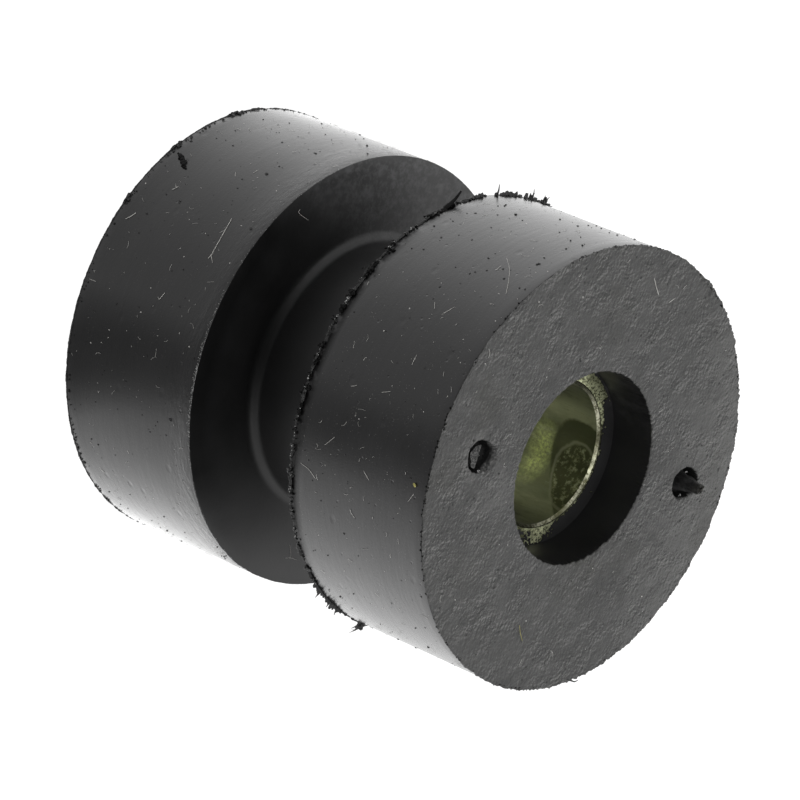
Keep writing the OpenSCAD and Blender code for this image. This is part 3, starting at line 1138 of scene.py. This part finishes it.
def gate_stub(name, angle, shift, slim, base, tip, top, ragged, flat_side, seed):
    """The torn rubber stub in a gate well: a flared peg with a ragged top. flat_side cuts its +X side
    straight, shift moves it along Y, and slim narrows it along X."""
    rows, sides = 16, 40
    crown_rings = (0.75, 0.45, 0.15)
    foot = BODY_H - WELL_DEPTH - 0.15
    gate_x, gate_y, _ = polar(GATE_R, angle, 0.0)
    gate_y += shift
    points = []
    for row in range(rows):
        share = row / (rows - 1)
        for side in range(sides):
            turn = 2.0 * math.pi * side / sides
            east, north = math.cos(turn), math.sin(turn)
            radius = tip + (base - tip) * (1.0 - share) ** 1.6
            radius *= 1.0 + ragged * waver(east, north, 1.8, 2.6 * share + seed)
            radius *= 1.0 + 0.5 * ragged * waver(east, north, 4.5, 3.0 * share + seed)
            if east > 0.05:
                radius = min(radius, flat_side / east)
            crown = top + ragged * share * (waver(east, north, 3.0, seed) - 0.2)
            x, y = gate_x + slim * radius * east, gate_y + radius * north
            points.append((x, y, foot + (BODY_H + crown - foot) * share))
    last = len(points) - sides
    for ring, share in enumerate(crown_rings):
        for x, y, z in points[last:last + sides]:
            dip = 0.5 * ragged * waver(x, y, 2.5, seed + ring)
            points.append((gate_x + (x - gate_x) * share, gate_y + (y - gate_y) * share, z + dip))
    faces = stack_faces(rows + len(crown_rings), sides)
    pale = [1 if min(face) >= last and top < 0.0 else 0 for face in faces]
    add_piece(name, points, faces, [TORN, STUB_TOP], pale, 50.0)


def film_covers(angle, radius, bare_patches, seed):
    """Whether the moulded rubber film covers the sleeve's end face at a place."""
    x, y, _ = polar(radius, angle, 0.0)
    cover = 0.7 + 0.4 * waver(x, y, 0.9, seed) + 0.55 * waver(x, y, 3.4, seed)
    cover -= 0.42 * smooth_step(BORE_R + 0.75, BORE_R + 0.35, radius)
    for centre, half, reach, bare in bare_patches:
        away = abs(turn_between(angle, centre))
        across = smooth_step(half * 1.3, half * 0.7, away)
        cover -= bare * across * smooth_step(reach + 0.3, reach - 0.3, radius)
    return cover > 0.18


def rubber_film(name, level, thickness, bare_patches, seed):
    """Thin rubber that the mould let run over a sleeve's end face, torn away in places."""
    rings, sectors = 24, 640
    inner, outer = BORE_R + BORE_CHAMFER + 0.02, RECESS_FLOOR_R + 0.05
    radii = [inner + (outer - inner) * ring / rings for ring in range(rings + 1)]
    middles = [(near + far) / 2.0 for near, far in zip(radii, radii[1:])]
    turns = [360.0 * sector / sectors for sector in range(sectors)]
    kept = {(ring, sector) for ring in range(rings) for sector in range(sectors)
            if film_covers(turns[sector] + 180.0 / sectors, middles[ring], bare_patches, seed)}
    for ring in range(rings - 1):
        for sector in range(sectors):
            beside = (sector + 1) % sectors
            square = [(ring, sector), (ring + 1, beside), (ring, beside), (ring + 1, sector)]
            held = [cell in kept for cell in square]
            if held in ([True, True, False, False], [False, False, True, True]):
                kept.update(square)
    points, faces, index = [], [], {}

    def corner(ring, sector, top):
        key = (ring, sector % sectors, top)
        if key not in index:
            index[key] = len(points)
            points.append(polar(radii[ring], turns[key[1]], level + (thickness if top else 0.0)))
        return index[key]

    for ring, sector in sorted(kept):
        loop = [(ring, sector), (ring + 1, sector), (ring + 1, sector + 1), (ring, sector + 1)]
        upper = [corner(*c, True) for c in loop]
        under = [corner(*c, False) for c in loop]
        faces.append(tuple(upper))
        faces.append(tuple(reversed(under)))
        before, after = (sector - 1) % sectors, (sector + 1) % sectors
        neighbours = ((ring, before), (ring + 1, sector), (ring, after), (ring - 1, sector))
        for edge, neighbour in enumerate(neighbours):
            if neighbour not in kept:
                beyond = (edge + 1) % 4
                faces.append((under[edge], under[beyond], upper[beyond], upper[edge]))
    add_piece(name, points, flipped(faces) if thickness < 0.0 else faces, [FILM])


def seen_fibre(batch, pixels, radius):
    """A lint fibre that lies on the surface through pixels of the photograph."""
    steps = 6
    track = []
    for first, second in zip(pixels, pixels[1:]):
        track += [tuple(a + (b - a) * (step / steps) for a, b in zip(first, second)) for step in range(steps)]
    track.append(pixels[-1])
    path = []
    for pixel in track:
        point, out = seen_point(pixel)
        path.append(point + out * (radius + 0.02))
    tube(batch, path, [0.6 * radius, *[radius] * (len(path) - 2), 0.6 * radius])


def stray_place(draw):
    """A random place on a disc's side or on the upper face, clear of the rims, wells and bore, with the
    way out of the surface and two ways along it."""
    kind = draw.random()
    if kind > FACE_SHARE:
        level = draw.uniform(0.6, GROOVE_LOW - 0.6)
        if kind < 0.5 + 0.5 * FACE_SHARE:
            level = draw.uniform(GROOVE_HIGH + 0.6, BODY_H - 0.6)
        angle = draw.uniform(0.0, 360.0)
        return (*rim_place(0.0, angle, level), outward(angle + 90.0), UP)
    radius = draw.uniform(RECESS_MOUTH_R + 1.0, GATE_R - 2.2)
    angle = draw.uniform(0.0, 360.0)
    if draw.random() < 0.5:
        radius = draw.uniform(GATE_R + 2.2, DISC_R - 0.7)
    x, y, _ = polar(radius, angle, 0.0)
    return Vector((x, y, BODY_H + face_swell(x, y))), UP, Vector((1.0, 0.0, 0.0)), Vector((0.0, 1.0, 0.0))


def stray_fibre(batch, draw):
    """A short bent fibre at a random place."""
    centre, out, around, along = stray_place(draw)
    turn = draw.uniform(0.0, math.pi)
    length = 0.12 + 0.7 * draw.random() ** 2.6
    bend = draw.uniform(-0.9, 0.9)
    radius = draw.uniform(0.006, 0.013)
    ahead = around * math.cos(turn) + along * math.sin(turn)
    beside = along * math.cos(turn) - around * math.sin(turn)
    path = []
    for step in range(8):
        share = step / 7.0 - 0.5
        flat = centre + ahead * (length * share) + beside * (bend * length * (share * share - 0.1))
        if abs(out.z) < 0.5:
            reach = math.hypot(flat.x, flat.y)
            flat = Vector((flat.x * DISC_R / reach, flat.y * DISC_R / reach, flat.z))
        path.append(flat + out * (radius + 0.05))
    tube(batch, path, [radius] * len(path))


def stray_lumps(batch, draw, count, least, more, flat):
    """Crumbs or specks at random places, most of them small."""
    for _ in range(count):
        point, out, _, _ = stray_place(draw)
        lump(batch, point, out, least + more * draw.random() ** 2.0, flat, draw.uniform(*SEEDS))


def lint_and_dust():
    """Pale fibres and specks, black crumbs and a few yellow bits that lie on the rubber."""
    draw = random.Random(44)
    pale, specks, crumbs, yellow = Batch(), Batch(), Batch(), Batch()
    for pixels, radius in SEEN_FIBRES:
        seen_fibre(pale, pixels, FIBRE_BODY * radius)
    for _ in range(STRAY_FIBRES):
        stray_fibre(pale, draw)
    for pixel in SEEN_SPECKS:
        lump(specks, *seen_point(pixel), SPECK_SIZE, 0.7, draw.uniform(*SEEDS))
    stray_lumps(specks, draw, STRAY_SPECKS, 0.018, 0.045, 0.7)
    for pixel, size in SEEN_CRUMBS:
        lump(crumbs, *seen_point(pixel), size, 0.75, draw.uniform(*SEEDS))
    stray_lumps(crumbs, draw, STRAY_CRUMBS, 0.025, 0.08, 0.8)
    for pixels, radius in YELLOW_FIBRES:
        seen_fibre(yellow, pixels, radius)
    pale.make("lint_fibres", LINT)
    specks.make("dust_specks", LINT)
    crumbs.make("rubber_crumbs", TORN)
    yellow.make("yellow_threads", LINT_YELLOW)


def ray_kinds(tree):
    """1 for rays from the camera, and 1 for rays that a surface mirrors or lets through."""
    kinds = ("Is Camera Ray", "Is Glossy Ray", "Is Transmission Ray")
    camera, glossy, passed = (Flow(tree, "LightPath", kind) for kind in kinds)
    return camera, glossy.most(passed)


def floor_glow(tree):
    """The floor's painted glow for mirrored rays: pools of light by the angle about the part, dimmer in the
    gap between them, and a painted shadow behind the part.
    """
    place = Flow(tree, "TexCoord", "Object")
    turn = place.turn()
    pool = abs((turn - math.radians(POOL_AXIS)).math("SINE")) ** 2.5
    near_gap = (turn - math.radians(GAP_ANGLE)).math("COSINE")
    gap = near_gap.rise(math.cos(math.radians(20.0)), math.cos(math.radians(5.0)))
    behind = place.axis("X").rise(-4.0 * MM, 9.0 * MM) * place.length().rise(45.0 * MM, 32.0 * MM)
    glow = (pool * FLOOR_POOL + FLOOR_PLAIN) * gap.spread(1.0, 1.0 - GAP_SHADE)
    return glow * behind.spread(1.0, 1.0 - BEHIND_SHADE)


def floor_material():
    """A pale floor that camera and mirror rays see as white, and that still takes the part's shadow."""
    material, tree = new_material("floor_pale")
    camera, mirrored = ray_kinds(tree)
    strength = (mirrored * floor_glow(tree)).most(camera * FLOOR_SEEN)
    matt = Flow(tree, "BsdfDiffuse", 0, {"Color": FLOOR_GREY})
    glow = Flow(tree, "Emission", 0, {"Color": WHITE, "Strength": strength})
    both = Flow(tree, "AddShader", 0, {0: matt, 1: glow})
    set_socket(tree, tree.nodes["Material Output"].inputs["Surface"], both)
    tree.nodes.remove(tree.nodes["Principled BSDF"])
    return material


def add_floor():
    """The plain floor that the part stands on."""
    half = FLOOR_HALF
    mesh = bpy.data.meshes.new("floor")
    corners = [(-half, -half, 0), (half, -half, 0), (half, half, 0), (-half, half, 0)]
    mesh.from_pydata(corners, [], [(0, 1, 2, 3)])
    mesh.materials.append(floor_material())
    floor = bpy.data.objects.new("floor", mesh)
    bpy.context.collection.objects.link(floor)


def add_world():
    """An even room for diffuse light, white to the camera, and dim in front of the part for mirrored rays."""
    world = bpy.data.worlds.new("studio")
    world.use_nodes = True
    tree = world.node_tree
    camera, mirrored = ray_kinds(tree)
    toward_dim = Flow(tree, "TexCoord", "Generated")
    toward_dim = toward_dim.vector("DOT_PRODUCT", direction(DIM_AZIMUTH, DIM_ELEVATION), "Value")
    strength = camera.most(mirrored * toward_dim.rise(0.92, 0.45).spread(0.03, 1.0))
    background = tree.nodes["Background"]
    background.inputs["Color"].default_value = WHITE
    set_socket(tree, background.inputs["Strength"], strength.most((1.0 - mirrored) * ROOM_LIGHT))
    bpy.context.scene.world = world


def add_softbox(name, azimuth, elevation, distance, size, power):
    """A rectangular softbox that faces the part from an azimuth and elevation in degrees."""
    light = bpy.data.lights.new(name, "AREA")
    light.shape = "RECTANGLE"
    light.size, light.size_y = size
    light.energy = power
    box = bpy.data.objects.new(name, light)
    out = direction(azimuth, elevation)
    box.location = Vector((0.0, 0.0, 0.022)) + out * distance
    box.rotation_mode = "QUATERNION"
    box.rotation_quaternion = out.to_track_quat("Z", "Y")
    bpy.context.collection.objects.link(box)


def add_lights():
    """Four soft lights above the part: behind it, in front of it, and to both sides."""
    add_softbox("softbox_back", 10.0, 58.0, 0.6, (0.5, 0.5), 0.7)
    add_softbox("softbox_front", 180.0, 68.0, 0.7, (0.4, 0.18), 2.2)
    add_softbox("softbox_left", 80.0, 60.0, 0.6, (0.35, 0.35), 0.5)
    add_softbox("softbox_right", 262.0, 60.0, 0.6, (0.35, 0.35), 0.5)


def add_camera():
    """The photograph's camera."""
    right, up, back = camera_axes()
    lens = bpy.data.cameras.new("camera")
    lens.lens = CAMERA_LENS
    lens.sensor_width = SENSOR_WIDTH
    lens.clip_start, lens.clip_end = 0.01, 20.0
    camera = bpy.data.objects.new("camera", lens)
    pose = Matrix((right, up, back)).transposed().to_4x4()
    pose.translation = CAMERA_AIM + back * CAMERA_DISTANCE
    camera.matrix_world = pose
    bpy.context.collection.objects.link(camera)
    bpy.context.scene.camera = camera


rubber_body()
sleeve()
rubber_film("film_upper", SLEEVE_TOP, 0.05, BARE_PATCHES, 4.0)
rubber_film("film_lower", SLEEVE_FOOT, -0.05, BARE_PATCHES_BELOW, 9.0)
gate_stub("gate_stub_high", GATE_HIGH_ANGLE, 0.0, 1.0, 1.15, 0.47, 1.95, 0.28, 9.0, 3.0)
gate_stub("gate_stub_low", GATE_LOW_ANGLE, -0.22, 0.9, 1.10, 1.05, -0.05, 0.16, 0.04, 7.0)
rim_flash()
lint_and_dust()
add_floor()
add_world()
add_lights()
add_camera()
bpy.context.scene.view_settings.view_transform = "Standard"
